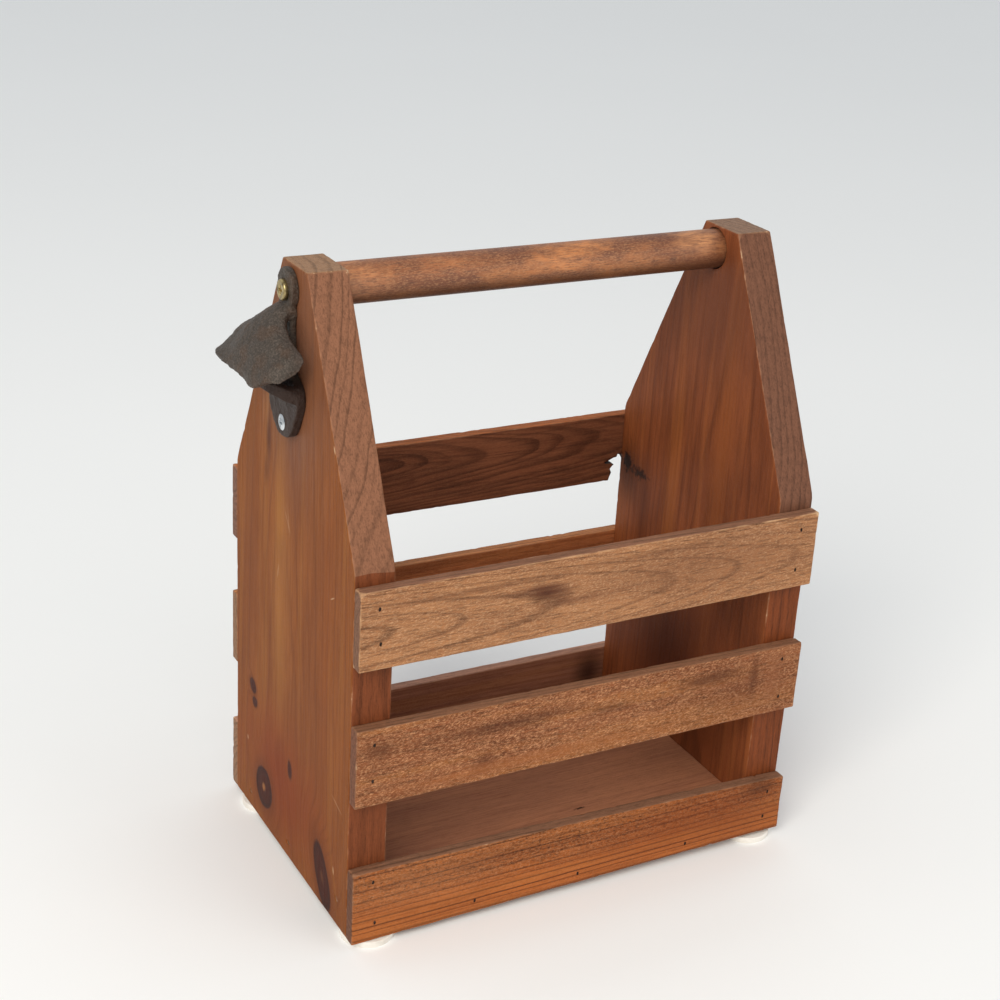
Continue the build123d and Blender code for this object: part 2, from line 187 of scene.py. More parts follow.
def sawn_board_tree():
    """A board cut to size, with worn and chipped edges, a little bow, and raised grain.

    Above its shoulder a board may taper in Y. Its lower and upper edges may be shifted in Z, by
    the shift's X at the left end and its Y at the right. Attributes tell the finish where the
    edges, the end grain and the narrow faces are.
    """
    tree, put, given = new_tree(
        "sawn_board",
        Vector=("Low", "High", "Fibre scale", "Low shift", "High shift", "Grain", "Narrow"),
        Int=("Cells X", "Cells Y", "Cells Z"),
        Float=("Edge round", "Chips", "Bow", "Relief", "Shoulder", "Taper", "Top bow", "Seed"),
        Material=("Wood",))
    low, high, seed = given["Low"], given["High"], given["Seed"]
    cube = put("MeshCube", (
        (2, 2, 2), given["Cells X"], given["Cells Y"], given["Cells Z"]))
    even = put("InputPosition")
    turned = put("VectorMath", {0: even, "Scale": math.pi / 2}, "SCALE")
    crowded = put("VectorMath", [turned], "SINE")
    spread = put("Mix", {0: CROWDING, 4: even, 5: crowded}, data_type="VECTOR")
    total = put("VectorMath", (high, low))
    centre = put("VectorMath", {0: total, "Scale": 0.5}, "SCALE")
    size = put("VectorMath", (high, low), "SUBTRACT")
    half = put("VectorMath", {0: size, "Scale": 0.5}, "SCALE")
    sharp = put("VectorMath", (spread, half, centre), "MULTIPLY_ADD")

    # How much of the full width is left at this height
    height = put("SeparateXYZ", [sharp]).outputs["Z"]
    above = put("Math", (height, given["Shoulder"]), "SUBTRACT")
    risen = put("Math", (above, 0.0), "MAXIMUM")
    lost = put("Math", (risen, given["Taper"]), "MULTIPLY")
    width_left = put("Math", (1.0, lost), "SUBTRACT")

    def past(rims):
        """The nearest place within the board's rims, and how far out of them a place is."""
        inner_low = put("VectorMath", (low, rims))
        inner_high = put("VectorMath", (high, rims), "SUBTRACT")
        raised = put("VectorMath", (sharp, inner_low), "MAXIMUM")
        inner = put("VectorMath", (raised, inner_high), "MINIMUM")
        out = put("VectorMath", (sharp, inner), "SUBTRACT")
        return inner, put("VectorMath", (out, rims), "DIVIDE")

    # The edges' rounding: uneven, with small chips here and there
    uneven, splinter = (
        put("TexNoise", {"Vector": sharp, "W": seed, "Scale": scale, "Detail": detail}, **SEEDED)
        for scale, detail in ((0.07, 2.0), (0.30, 1.0)))
    rounding = put("MapRange", (uneven, 0.25, 0.75, 0.5, 1.5))
    chipped = put("MapRange", (splinter, 0.62, 0.72, 0.0, given["Chips"]))
    radius = put("Math", (rounding, given["Edge round"], chipped), "MULTIPLY_ADD")
    wide_radius = put("Math", (radius, width_left), "DIVIDE")
    radii = put("CombineXYZ", (radius, wide_radius, radius))
    inner, out_share = past(radii)
    facing = put("VectorMath", [out_share], "NORMALIZE")
    rounded = put("VectorMath", (facing, radii, inner), "MULTIPLY_ADD")

    # Raised grain, along the fibres, on every face
    fibre_place = put("VectorMath", (rounded, given["Fibre scale"]), "MULTIPLY")
    fibre = put("TexNoise", {"Vector": fibre_place, "W": seed, "Scale": 1.0, "Detail": 2.0},
                **SEEDED)
    relief = put("Math", (put("Math", (fibre, -0.5)), given["Relief"]), "MULTIPLY")
    lifted = put("VectorMath", {0: facing, "Scale": relief}, "SCALE")
    grained = put("VectorMath", (rounded, lifted))

    # Taper above the shoulder, about the board's middle
    from_centre = put("VectorMath", (grained, centre), "SUBTRACT")
    narrowing = put("CombineXYZ", (1.0, width_left, 1.0))
    tapered = put("VectorMath", (from_centre, narrowing, centre), "MULTIPLY_ADD")

    # Edges that aren't cut quite true
    along = put("SeparateXYZ", [spread]).outputs
    right_share = put("MapRange", (along["X"], -1.0, 1.0))
    top_share = put("MapRange", (along["Z"], -1.0, 1.0))
    low_move, high_straight = (
        put("Mix", {0: right_share, 2: ends["X"], 3: ends["Y"]}) for ends in
        (put("SeparateXYZ", [given[label]]).outputs for label in ("Low shift", "High shift")))
    arch = put("Math", (right_share, math.pi), "MULTIPLY")
    arch_rise = put("Math", [arch], "SINE")
    high_move = put("Math", (arch_rise, given["Top bow"], high_straight), "MULTIPLY_ADD")
    shift = put("CombineXYZ", {2: put("Mix", {0: top_share, 2: low_move, 3: high_move})})
    shifted = put("VectorMath", (tapered, shift))

    # The bow of a board that has dried
    bowed = put("VectorMath", (shifted, shaken(put, shifted, seed, 0.009, 0.0, given["Bow"])))

    # How near a place is to an edge: 1 on it, 0 beyond the edge zone
    wide_zone = put("Math", (EDGE_ZONE, width_left), "DIVIDE")
    zone = put("CombineXYZ", (EDGE_ZONE, wide_zone, EDGE_ZONE))
    zone_size = put("VectorMath", [past(zone)[1]], "ABSOLUTE")
    parts = put("SeparateXYZ", [zone_size]).outputs
    zone_sum = put("VectorMath", (zone_size, (1, 1, 1)), "DOT_PRODUCT")
    zone_xy = put("Math", (parts["X"], parts["Y"]), "MAXIMUM")
    zone_most = put("Math", (zone_xy, parts["Z"]), "MAXIMUM")
    edge = put("Math", (zone_sum, zone_most), "SUBTRACT",
               use_clamp=True)
    size_facing = put("VectorMath", [facing], "ABSOLUTE")
    end, narrow = (
        put("VectorMath", (size_facing, given[label]), "DOT_PRODUCT")
        for label in ("Grain", "Narrow"))

    shape = cube
    for label, value in (("edge", edge), ("end", end), ("narrow", narrow)):
        shape = put("StoreNamedAttribute", {
            "Geometry": shape, "Name": label, "Value": value}, data_type="FLOAT", domain="POINT")
    placed = put("SetPosition", {"Geometry": shape, "Position": bowed})
    end_tree(put, put("SetShadeSmooth", [placed]), given["Wood"])
    return tree


def driven_pin_tree():
    """Brads or nails at points: a domed head, a shank and a point, each turned its own way."""
    tree, put, given = new_tree(
        "driven_pins", Geometry=("Geometry",), Rotation=("Facing",), Int=("Seed",),
        Float=("Head diameter", "Head thickness", "Diameter", "Length", "Tilt"),
        Material=("Steel",))

    def part(label, share):
        return put("Math", (given[label], share), "MULTIPLY")

    head_radius, shank_radius = part("Head diameter", 0.5), part("Diameter", 0.5)
    shank_length = put("Math", (given["Length"], given["Diameter"]), "SUBTRACT")
    shank_low = put("Math", (shank_length, -1.0), "MULTIPLY")
    joined = put("JoinGeometry")
    for low_radius, high_radius, height, low in (
            (head_radius, part("Head diameter", 0.38), part("Head thickness", 0.3),
             part("Head thickness", -0.3)),
            (head_radius, head_radius, part("Head thickness", 0.7), part("Head thickness", -1.0)),
            (shank_radius, shank_radius, shank_length, shank_low),
            (TIP_RADIUS, shank_radius, given["Diameter"], part("Length", -1.0))):
        cone = put("MeshCone", {
            "Vertices": 12, "Radius Top": high_radius, "Radius Bottom": low_radius,
            "Depth": height})
        placed = put("Transform", {
            "Geometry": cone, "Translation": put("CombineXYZ", {2: low})})
        tree.links.new(placed.outputs[0], joined.inputs[0])
    least, most = (put("CombineXYZ", (tilt, tilt))
                   for tilt in (part("Tilt", -1.0), given["Tilt"]))
    lean = put("RandomValue", {0: least, 1: most, "Seed": given["Seed"]},
               data_type="FLOAT_VECTOR")
    turn = put("EulerToRotation", [lean])
    aim = put("RotateRotation", (given["Facing"], turn), rotation_space="LOCAL")
    end_tree(put, put("InstanceOnPoints", {
        "Points": given["Geometry"], "Instance": joined, "Rotation": aim}), given["Steel"])
    return tree


def dented_hole_tree():
    """Cutters for the small holes that driven pins leave: ragged cones that open outwards."""
    tree, put, given = new_tree(
        "dented_holes", Geometry=("Geometry",), Rotation=("Facing",), Int=("Seed",),
        Float=("Mouth diameter", "Depth"), Vector=("Stretch",), Material=("Wall",))
    mouth, floor, sunk = (
        put("Math", (given[label], share), "MULTIPLY")
        for label, share in (("Mouth diameter", 0.5), ("Mouth diameter", 0.42), ("Depth", -1.0)))
    cone = put("MeshCone", {
        "Vertices": 11, "Radius Top": mouth, "Radius Bottom": floor,
        "Depth": put("Math", (given["Depth"], 1.0))})
    low = put("Transform", {
        "Geometry": cone, "Translation": put("CombineXYZ", {2: sunk})})
    placed = put("InstanceOnPoints", {
        "Points": given["Geometry"], "Instance": low, "Rotation": given["Facing"],
        "Scale": given["Stretch"]})
    real = put("RealizeInstances", [placed])
    jitter = shaken(put, put("InputPosition"), given["Seed"], 0.9, 2.0, 0.7)
    moved = put("SetPosition", {"Geometry": real, "Offset": jitter})
    end_tree(put, moved, given["Wall"])
    return tree


def rod_tree():
    """A sanded round rod along X: not quite straight, and not quite round."""
    tree, put, given = new_tree(
        "sanded_rod", Vector=("Start", "End"), Float=("Diameter", "Unevenness", "Seed"),
        Material=("Wood",))
    line = put("CurvePrimitiveLine", (given["Start"], given["End"]))
    steps = put("ResampleCurve", {"Curve": line, "Count": 180})
    radius = put("Math", (given["Diameter"], 0.5), "MULTIPLY")
    ring = put("CurvePrimitiveCircle", {"Resolution": 72, "Radius": radius})
    rod = put("CurveToMesh", {
        "Curve": steps, "Profile Curve": ring.outputs["Curve"], "Fill Caps": True})
    stretched = put("VectorMath", (put("InputPosition"), (0.012, 0.09, 0.09)), "MULTIPLY")
    move = shaken(put, stretched, given["Seed"], 1.0, 2.0, given["Unevenness"])
    moved = put("SetPosition", {"Geometry": rod, "Offset": move})
    end_tree(put, put("SetShadeSmooth", [moved]), given["Wood"])
    return tree


# ---- materials

THROUGH = 1e6  # half depth in millimetres of a mark that runs through the board
SCRATCH_REACH = 2.0  # how deep a scratch's colour is seen, in millimetres
SOFT_RIM = 0.9  # millimetres over which a knot's rim fades
FIBRE_BEND = 0.75  # how much the fibres spread to pass a knot
WHOLE = 1.0  # the share of a layer whose amount isn't cut

# Stain on each kind of face: early and late wood, stain where it soaked in, tan flecks, knots and
# their rind, narrow faces, end grain, rubbed edges and bare wood
REDDISH = dict(early="#905430", late="#6a391b", pale="#b0713a", stain="#703a1d",
               fleck="#b0764b", knot="#4f261a", rind="#2b130c", narrow="#8a5a43",
               narrow_low="#74391f", end="#8f6c52", worn="#a67a5c", bare="#d8b892")


def new_material(name, centre=(0, 0, 0)):
    """An empty material, a call that adds nodes to it, and places in millimetres from centre."""
    material = bpy.data.materials.new(name)
    material.use_nodes = True
    material.node_tree.nodes.clear()
    put = partial(add, material.node_tree)
    return material, put, put("Mapping", {
        "Vector": put("TexCoord").outputs["Object"], "Location": [-c for c in centre],
        "Scale": (1 / MM,) * 3})


def finished(material, put, looks, height=None, strength=0.0, depth=0.0):
    """End a material: its surface's looks, and a relief of some depth in millimetres."""
    if height is not None:
        looks["Normal"] = put("Bump", {
            "Height": height, "Strength": strength, "Distance": depth * MM})
    put("OutputMaterial", [put("BsdfPrincipled", looks)])
    return material


def layered(put, colour, *layers):
    """A colour with others laid over it, each by an amount and a share of it."""
    for amount, share, above in layers:
        if share != WHOLE:
            amount = put("Math", (amount, share), "MULTIPLY")
        colour = put("Mix", {0: amount, 6: colour, 7: above}, data_type="RGBA")
    return colour


def stretched_noise(put, place, scale, detail, seed, roughness):
    """Random light and dark with so many features in a millimetre along each axis."""
    stretched = put("VectorMath", (place, scale), "MULTIPLY")
    return put("TexNoise", {"Vector": stretched, "W": seed, "Scale": 1.0, "Detail": detail,
                            "Roughness": roughness}, **SEEDED)


def patterns(put, seed, rows):
    """Each row's stretched noise, and how much of it shows: none at its low, all at its high."""
    noises, shares = {}, {}
    for label, place, scale, detail, offset, roughness, low, high, rise in rows:
        noises[label] = stretched_noise(put, place, scale, detail, seed + offset, roughness)
        shares[label] = put("MapRange", (noises[label], low, high), **rise)
    return noises, shares


def oval(put, vector, along, across, half_length, half_width, turn=0.0, depth=0.0,
         half_depth=THROUGH):
    """How far out a place is in an oval: 0 in its middle, 1 on its rim."""
    inside = put("Mapping", {
        "Vector": vector, "Location": (along, across, depth), "Rotation": (0, 0, turn),
        "Scale": (half_length, half_width, half_depth)}, vector_type="TEXTURE")
    return put("VectorMath", [inside], "LENGTH")


def stained_board(name, grain, centre, pith, spacing, figure=0.6, line=0.3, sawn=0.3,
                  pitted=0.0, rough_over=(-400, -399), streaky=0.2, fine=1.0, sheen=0.03,
                  marks=(), knots=(), cracks=(), scratches=(), scratch_depth=0.0,
                  fibrous=0.5, lined=0.0, wear=0.45, seed=0.0, wander=3.0, step=-400,
                  **changed):
    """Sawn softwood, stained reddish brown and sealed thinly: a warm, uneven, dull brown.

    Growth rings show as darker lines, from the real rings of the log: grain names the axes along
    the fibres, across the face and into it; pith is the log's middle across the face, its depth
    under it, and how fast that changes along the board; spacing is a ring's width in
    millimetres, line the share of it before the late wood, figure how dark that is, and wander
    how far the grain drifts. Sawn faces carry short tan flecks where the saw raised the fibres
    and the stain wore off, most of them beyond rough_over across.

    Marks are soft patches, cracks are ragged dark ones, and knots are dark ovals that rings and
    fibres run round. Each has its place and half sizes along and across, from the centre. A mark
    or a crack may also have a turn, and a depth and half depth if it doesn't run through.
    Scratches are thin pale lines between two places on the face that lies scratch_depth from
    the centre. Narrow faces change their tone at step along the board. Tones that aren't changed
    are the reddish ones.
    """
    tones = {**REDDISH, **changed}
    material, put, local = new_material(name, centre)
    axes = put("SeparateXYZ", [local]).outputs
    board = put("CombineXYZ", [axes[axis] for axis in grain])
    drift_place = put("VectorMath", (board, (1 / 110, 1 / 24, 1 / 24)), "MULTIPLY")
    flowing = put("VectorMath", (board, shaken(put, drift_place, seed, 1.0, 2.0, wander)))
    flow = put("SeparateXYZ", [flowing]).outputs

    # Distance from the pith, pushed out around each knot, and fibres bent around it
    pith_across, pith_depth, pith_slope = pith
    aside = put("Math", (flow["Y"], -pith_across))
    sinking = put("Math", (flow["X"], pith_slope, pith_depth), "MULTIPLY_ADD")
    across_log = put("CombineXYZ", {1: aside, 2: put("Math", (flow["Z"], sinking))})
    distance = put("VectorMath", [across_log], "LENGTH")
    bent, knot_sizes = flowing, []
    for *place, pull, turn, heart in knots:
        knot_size = oval(put, flowing, *place, turn)
        knot_sizes.append((knot_size, SOFT_RIM / place[3], heart))
        near = put("MapRange", (knot_size, 3.2, 0.7), interpolation_type="SMOOTHERSTEP")
        distance = put("Math", (near, pull, distance), "MULTIPLY_ADD")
        inwards = put("VectorMath", (flowing, (0, -FIBRE_BEND, 0), (0, FIBRE_BEND * place[1], 0)),
                      "MULTIPLY_ADD")
        nearer = put("VectorMath", {0: inwards, "Scale": near}, "SCALE")
        bent = put("VectorMath", (bent, nearer))

    # Rings of uneven width and strength, each dark towards its outer side
    ring = put("Math", (distance, 1 / spacing), "MULTIPLY")
    unevenness = put("TexNoise", {
        "W": put("Math", (ring, 0.37), "MULTIPLY"), "Scale": 1.0, "Detail": 0.0},
        noise_dimensions="1D")
    uneven_ring = put("Math", (unevenness, 1.6, ring), "MULTIPLY_ADD")
    ring_share = put("Math", [uneven_ring], "FRACT")
    ring_number = put("Math", [uneven_ring], "FLOOR")
    ring_chance = put("TexWhiteNoise", {"W": ring_number}, noise_dimensions="1D")
    ring_strength = put("MapRange", (ring_chance, 0.0, 1.0, 0.35, 1.0))
    late_rise = put("MapRange", (ring_share, line, 0.88), **SMOOTH)
    late_fall = put("MapRange", (ring_share, 1.0, 0.90), **SMOOTH)
    late_shape = put("Math", (late_rise, late_fall), "MULTIPLY")
    late = put("Math", (late_shape, ring_strength), "MULTIPLY")

    # Fibres about 1 mm wide and 45 long, saw flecks that lean and are about 1.2 by 0.5 mm,
    # pores 6 mm long, round pits, and slow streaks and blotches in the stain
    slant = put("VectorMath", (board, (-0.22, 0, 0)), "DOT_PRODUCT")
    leaning = put("VectorMath", (board, put("CombineXYZ", {1: slant})))
    noises, shares = patterns(put, seed, (
        ("fibre", bent, (0.022, 0.95 * fine, 0.95 * fine), 4.0, 3.0, 0.66, 0.44, 0.62, SMOOTH),
        ("fleck", leaning, (0.85, 2.1, 2.1), 3.0, 7.0, 0.78, 0.47, 0.60, {}),
        ("pore", board, (0.16, 1.7, 1.7), 3.0, 11.0, 0.7, 0.51, 0.62, {}),
        ("pit", board, (0.55, 0.85, 0.85), 3.0, 23.0, 0.72, 0.52, 0.66, {}),
        ("streak", bent, (1 / 170, 1 / 7, 1 / 7), 2.0, 29.0, 0.5, 0.48, 0.66, SMOOTH),
        ("blotch", board, (1 / 55, 1 / 20, 1 / 20), 2.0, 13.0, 0.5, 0.35, 0.70, SMOOTH)))
    rough = put("MapRange", (flow["Y"], *rough_over, 0.25, 1.0))
    for label in ("fleck", "pore", "pit"):
        shares[label] = put("Math", (shares[label], rough), "MULTIPLY")

    colour = layered(
        put, tones["early"], (late, figure, tones["late"]),
        (shares["blotch"], 0.40, tones["stain"]), (shares["fibre"], fibrous, tones["stain"]),
        (shares["streak"], streaky, tones["pale"]), (shares["fleck"], sawn, tones["fleck"]),
        (shares["pore"], 0.6 * sawn + 0.1, tones["rind"]), (late, lined, tones["rind"]),
        (shares["pit"], 0.62 * pitted, tones["rind"]))
    for *place, code, amount in marks:
        frayed = put("Math", (noises["fibre"], 1.1, oval(put, flowing, *place)), "MULTIPLY_ADD")
        cover = put("MapRange", (frayed, 1.9, 0.6, 0.0, amount), **SMOOTH)
        colour = layered(put, colour, (cover, WHOLE, code))
    for *place, code in cracks:
        torn = stretched_noise(put, board, (0.35, 0.5, 0.5), 4.0, seed + 31.0 + place[0], 0.75)
        frayed = put("Math", (torn, 2.6, oval(put, board, *place)), "MULTIPLY_ADD")
        open_share = put("MapRange", (frayed, 2.0, 1.7, 0.0, 0.92))
        colour = layered(put, colour, (open_share, WHOLE, code))
    for knot_size, soft, heart in knot_sizes:
        frayed = put("Math", (noises["fibre"], 2.5 * soft, knot_size), "MULTIPLY_ADD")
        knot_size = put("Math", (frayed, -1.25 * soft))
        inside = put("MapRange", (knot_size, 1.0 + soft, 1.0 - soft), **SMOOTH)
        rim = put("MapRange", (knot_size, 0.6, 0.95), **SMOOTH)
        rind = put("Math", (rim, inside), "MULTIPLY")
        knot_ring = put("Math", [put("Math", (knot_size, 4.2), "MULTIPLY")], "FRACT")
        shade = put("Math", (knot_ring, inside), "MULTIPLY")
        halo = put("MapRange", (knot_size, 1.9, 1.0), **SMOOTH)
        middle = put("MapRange", (knot_size, 0.26, 0.10))
        colour = layered(
            put, colour, (halo, 0.6, tones["stain"]), (inside, 0.9, tones["knot"]),
            (shade, 0.4, tones["rind"]), (rind, 0.6, tones["rind"]),
            (middle, heart, tones["fleck"]))
    for along_0, across_0, along_1, across_1, width, amount in scratches:
        run_along, run_across = along_1 - along_0, across_1 - across_0
        thin = oval(put, board, (along_0 + along_1) / 2, (across_0 + across_1) / 2,
                    math.hypot(run_along, run_across) / 2, width / 2,
                    math.atan2(run_across, run_along), scratch_depth, SCRATCH_REACH)
        scratched = put("MapRange", (thin, 1.0, 0.5, 0.0, amount))
        colour = layered(put, colour, (scratched, WHOLE, tones["bare"]))

    # Narrow faces and end grain have tones of their own, shaded by the same grain
    dashes = put("Math", (shares["pore"], 0.7, late), "MULTIPLY_ADD")
    lines = put("Math", (shares["fibre"], 0.55, dashes), "MULTIPLY_ADD")
    line_shade = put("MapRange", (lines, 0.0, 1.4, 1.16, 0.56))
    fleck_shade = put("MapRange", (shares["fleck"], 0.0, 1.0, 0.96, 1.08))
    shading = put("Math", (line_shade, fleck_shade), "MULTIPLY")
    beyond = put("Math", (flow["X"], step), "GREATER_THAN")
    narrow = layered(put, tones["narrow_low"], (beyond, WHOLE, tones["narrow"]))
    for label, plain, most in (("narrow", narrow, 1.0), ("end", tones["end"], 0.9)):
        shaded = put("Mix", {0: most, 6: plain, 7: shading}, data_type="RGBA",
                     blend_type="MULTIPLY")
        where = put("Attribute", attribute_name=label).outputs["Fac"]
        there = put("MapRange", (where, 0.55, 0.85, 0.0, 0.95), **SMOOTH)
        colour = layered(put, colour, (there, WHOLE, shaded))

    # Wear along the edges: the stain is rubbed through, in places to pale wood
    near_edge = put("Attribute", attribute_name="edge").outputs["Fac"]
    rubbed = stretched_noise(put, board, (0.10, 0.25, 0.25), 3.0, seed + 17.0, 0.65)
    rub_edge = put("Math", (near_edge, rubbed), "MULTIPLY")
    rub = put("MapRange", (rub_edge, 0.36, 0.58), **SMOOTH)
    bare = put("MapRange", (rub_edge, 0.59, 0.65), **SMOOTH)
    colour = layered(put, colour, (rub, wear, tones["worn"]), (bare, 0.6, tones["bare"]))

    height = put("Math", (shares["fibre"], -0.5), "MULTIPLY")
    for share, rise in ((shares["pit"], -pitted), (shares["fleck"], 0.3 + sawn), (late, 0.35)):
        height = put("Math", (share, rise, height), "MULTIPLY_ADD")
    gloss = put("MapRange", (noises["fibre"], 0.0, 1.0, 0.48 + 0.2 * sawn, 0.66 + 0.15 * sawn))
    return finished(material, put, {
        "Base Color": colour, "Roughness": gloss, "Coat Weight": sheen, "Coat Roughness": 0.38,
        "IOR": 1.5, "Specular IOR Level": 0.12}, height, 0.35 + 0.6 * sawn, 0.4)


# Where the handle's stain is rubbed through or gathered: place along and up, half sizes, colour
# and share
HANDLE_PATCHES = (
    (-84, 293, 18, 12, "#cf8a58", 0.6), (-40, 297, 22, 5, "#b8713f", 0.45),
    (22, 295, 18, 7, "#d0854a", 0.6), (40, 300, 12, 4, "#d0854a", 0.7),
    (98, 298, 15, 7, "#e8a268", 0.85), (83, 290, 2.5, 1.5, "#3a2015", 0.8),
)


def stained_dowel():
    """Birch rod, sanded, stained unevenly: dark mottles between bare orange patches, and painted
    shade along its underside.
    """
    material, put, local = new_material("stained_birch_dowel")
    noises, shares = patterns(put, 0.0, (
        ("patch", local, (1 / 34, 1 / 13, 1 / 13), 2.0, 4.3, 0.6, 0.40, 0.75, SMOOTH),
        ("mottle", local, (0.12, 0.3, 0.3), 3.0, 2.0, 0.6, 0.40, 0.66, SMOOTH),
        ("fleck", local, (0.7, 1.9, 1.9), 3.0, 6.0, 0.6, 0.48, 0.62, {}),
        ("fibre", local, (0.20, 1.6, 1.6), 3.0, 8.0, 0.6, 0.48, 0.62, {})))
    colour = layered(put, "#703e21", (shares["patch"], 0.7, "#b7723c"))
    for along, up, half_length, half_height, code, amount in HANDLE_PATCHES:
        place = oval(put, local, along, 0, half_length, THROUGH, depth=up,
                     half_depth=half_height)
        frayed = put("Math", (noises["mottle"], 1.6, place), "MULTIPLY_ADD")
        cover = put("MapRange", (frayed, 2.1, 0.9, 0.0, amount), **SMOOTH)
        colour = layered(put, colour, (cover, WHOLE, code))
    here = put("SeparateXYZ", [local]).outputs
    far_end = put("MapRange", (here["X"], 55.0, 95.0), **SMOOTH)
    # Painted shade: the rod darkens from its middle down to its underside
    under = put("MapRange", (here["Z"], 291.0, 284.0), **SMOOTH)
    colour = layered(
        put, colour, (shares["mottle"], 0.35, "#5a3320"), (shares["fibre"], 0.6, "#4f2c1a"),
        (shares["fleck"], 0.5, "#b17e53"), (far_end, 0.35, "#5d301d"), (under, 0.6, "#3e2314"))
    return finished(material, put, {
        "Base Color": colour, "Roughness": 0.52, "Coat Weight": 0.15, "Coat Roughness": 0.35},
        shares["fleck"], 0.25, 0.2)


def cast_iron():
    """Sand-cast iron with a dark brown finish: a grainy, dull skin with patches of rust, and
    painted shade below its lip and on its near side.
    """
    material, put, local = new_material("browned_cast_iron")
    grit = put("TexNoise", {"Vector": local, "Scale": 1.3, "Detail": 4.0, "Roughness": 0.65})
    cloud = put("TexNoise", {"Vector": local, "Scale": 0.12, "Detail": 3.0})
    pits = put("TexVoronoi", {"Vector": local, "Scale": 0.8}, feature="SMOOTH_F1")
    rust = put("MapRange", (cloud, 0.44, 0.66), **SMOOTH)
    grain = put("MapRange", (grit, 0.46, 0.64))
    # Painted shade, read from the casting: dark below the lip and on the near side away from the
    # hood
    low = put("Attribute", attribute_name="painted_shade").outputs["Fac"]
    colour = layered(put, "#3e362e", (rust, 0.8, "#493525"), (grain, 0.6, "#706359"),
                     (low, WHOLE, "#35231a"))
    height = put("Math", (pits.outputs["Distance"], 0.35, grit), "MULTIPLY_ADD")
    gloss = put("MapRange", (grit, 0.0, 1.0, 0.38, 0.70))
    return finished(material, put, {
        "Base Color": colour, "Metallic": 0.35, "Roughness": gloss}, height, 0.9, 0.6)


def screw_metal(name, light, dark, roughness):
    """A plated screw: a bright skin with fine scratches, duller where it was handled."""
    material, put, local = new_material(name)
    scratch_place = put("VectorMath", (local, (1.0, 0.6, 5.0)), "MULTIPLY")
    scratch = put("TexNoise", {"Vector": scratch_place, "Scale": 1.0, "Detail": 3.0})
    dull = put("TexNoise", {"Vector": local, "Scale": 0.35, "Detail": 2.0})
    colour = layered(put, light, (put("MapRange", (dull, 0.4, 0.7)), WHOLE, dark))
    gloss = put("MapRange", (scratch, 0.0, 1.0, roughness - 0.08, roughness + 0.15))
    return finished(material, put, {
        "Base Color": colour, "Metallic": 1.0, "Roughness": gloss}, scratch, 0.2, 0.08)


def crushed_and_shaded_wall():
    """Crushed, stain-soaked fibres in a nail hole, darkened to nearly black brown as painted shade
    in the recess: dull.
    """
    material, put, local = new_material("crushed_and_shaded_wood")
    soot = put("TexNoise", {"Vector": local, "Scale": 0.9, "Detail": 2.0})
    return finished(material, put, {
        "Base Color": layered(put, "#1e110b", (soot, WHOLE, "#3b2318")), "Roughness": 0.85})


def wool_felt():
    """White pressed felt: matte and fibrous, greyer where it has picked up dust."""
    material, put, local = new_material("white_felt")
    fuzz = put("TexNoise", {"Vector": local, "Scale": 1.8, "Detail": 4.0, "Roughness": 0.7})
    dust = put("TexNoise", {"Vector": local, "Scale": 0.12, "Detail": 2.0})
    colour = layered(put, "#efebe2", (put("MapRange", (dust, 0.4, 0.75)), 0.6, "#cfc6b8"))
    return finished(material, put, {
        "Base Color": colour, "Roughness": 0.95, "Sheen Weight": 0.3}, fuzz, 0.7, 0.5)


def painted_floor():
    """A matte, pale floor with a very faint unevenness."""
    material, put, local = new_material("pale_floor")
    cloud = put("TexNoise", {"Vector": local, "Scale": 0.0015, "Detail": 3.0})
    return finished(material, put, {
        "Base Color": layered(put, "#f3f4f3", (cloud, WHOLE, "#f6f7f6")), "Roughness": 0.7})


# ---- the boards

# Nearly black walls for the slats' brad holes, the handle's sockets and the torn break:
# stain-soaked fibres, with painted shade in these recesses
CRUSHED_AND_SHADED = crushed_and_shaded_wall()
BOARD, PINS, HOLES = sawn_board_tree(), driven_pin_tree(), dented_hole_tree()
NAIL_STEEL = screw_metal("dull_nail_steel", "#5d554e", "#3a322c", 0.55)
COATED_STEEL = screw_metal("stain_coated_steel", "#a87a52", "#80502f", 0.5)
PIN_TILT = 0.05
BRAD_SIZES = {"Head diameter": 1.9, "Head thickness": 0.7, "Diameter": 1.4, "Length": 22.0}
NAIL_SIZES = {"Head diameter": 3.1, "Head thickness": 0.9, "Diameter": 2.0, "Length": 38.0}
ALONG_X, ALONG_Y, ALONG_Z = (1.0, 0.0, 0.0), (0.0, 1.0, 0.0), (0.0, 0.0, 1.0)

# Turns from a pin's own upward axis to the way that it faces
FACINGS = {(1, -1): (math.pi / 2, 0, 0), (1, 1): (-math.pi / 2, 0, 0),
           (0, -1): (0, -math.pi / 2, 0), (0, 1): (0, math.pi / 2, 0)}

left_low, left_high = corners("end_panel_left")
right_low, right_high = corners("end_panel_right")
base_low, base_high = corners("base_board")
SHOULDER = left_low[2] + 184.0
RIDGE_SHARE = 27.0 / 140.0  # of the panel's width
TAPER = (1 - RIDGE_SHARE) / (left_high[2] - SHOULDER)


def finish_piece(piece, slot, *nodes):
    """Attach a piece to the root body and hide the CAD nodes that it stands for; slot is not used.
    """
    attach(piece, "root")
    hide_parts(*nodes)


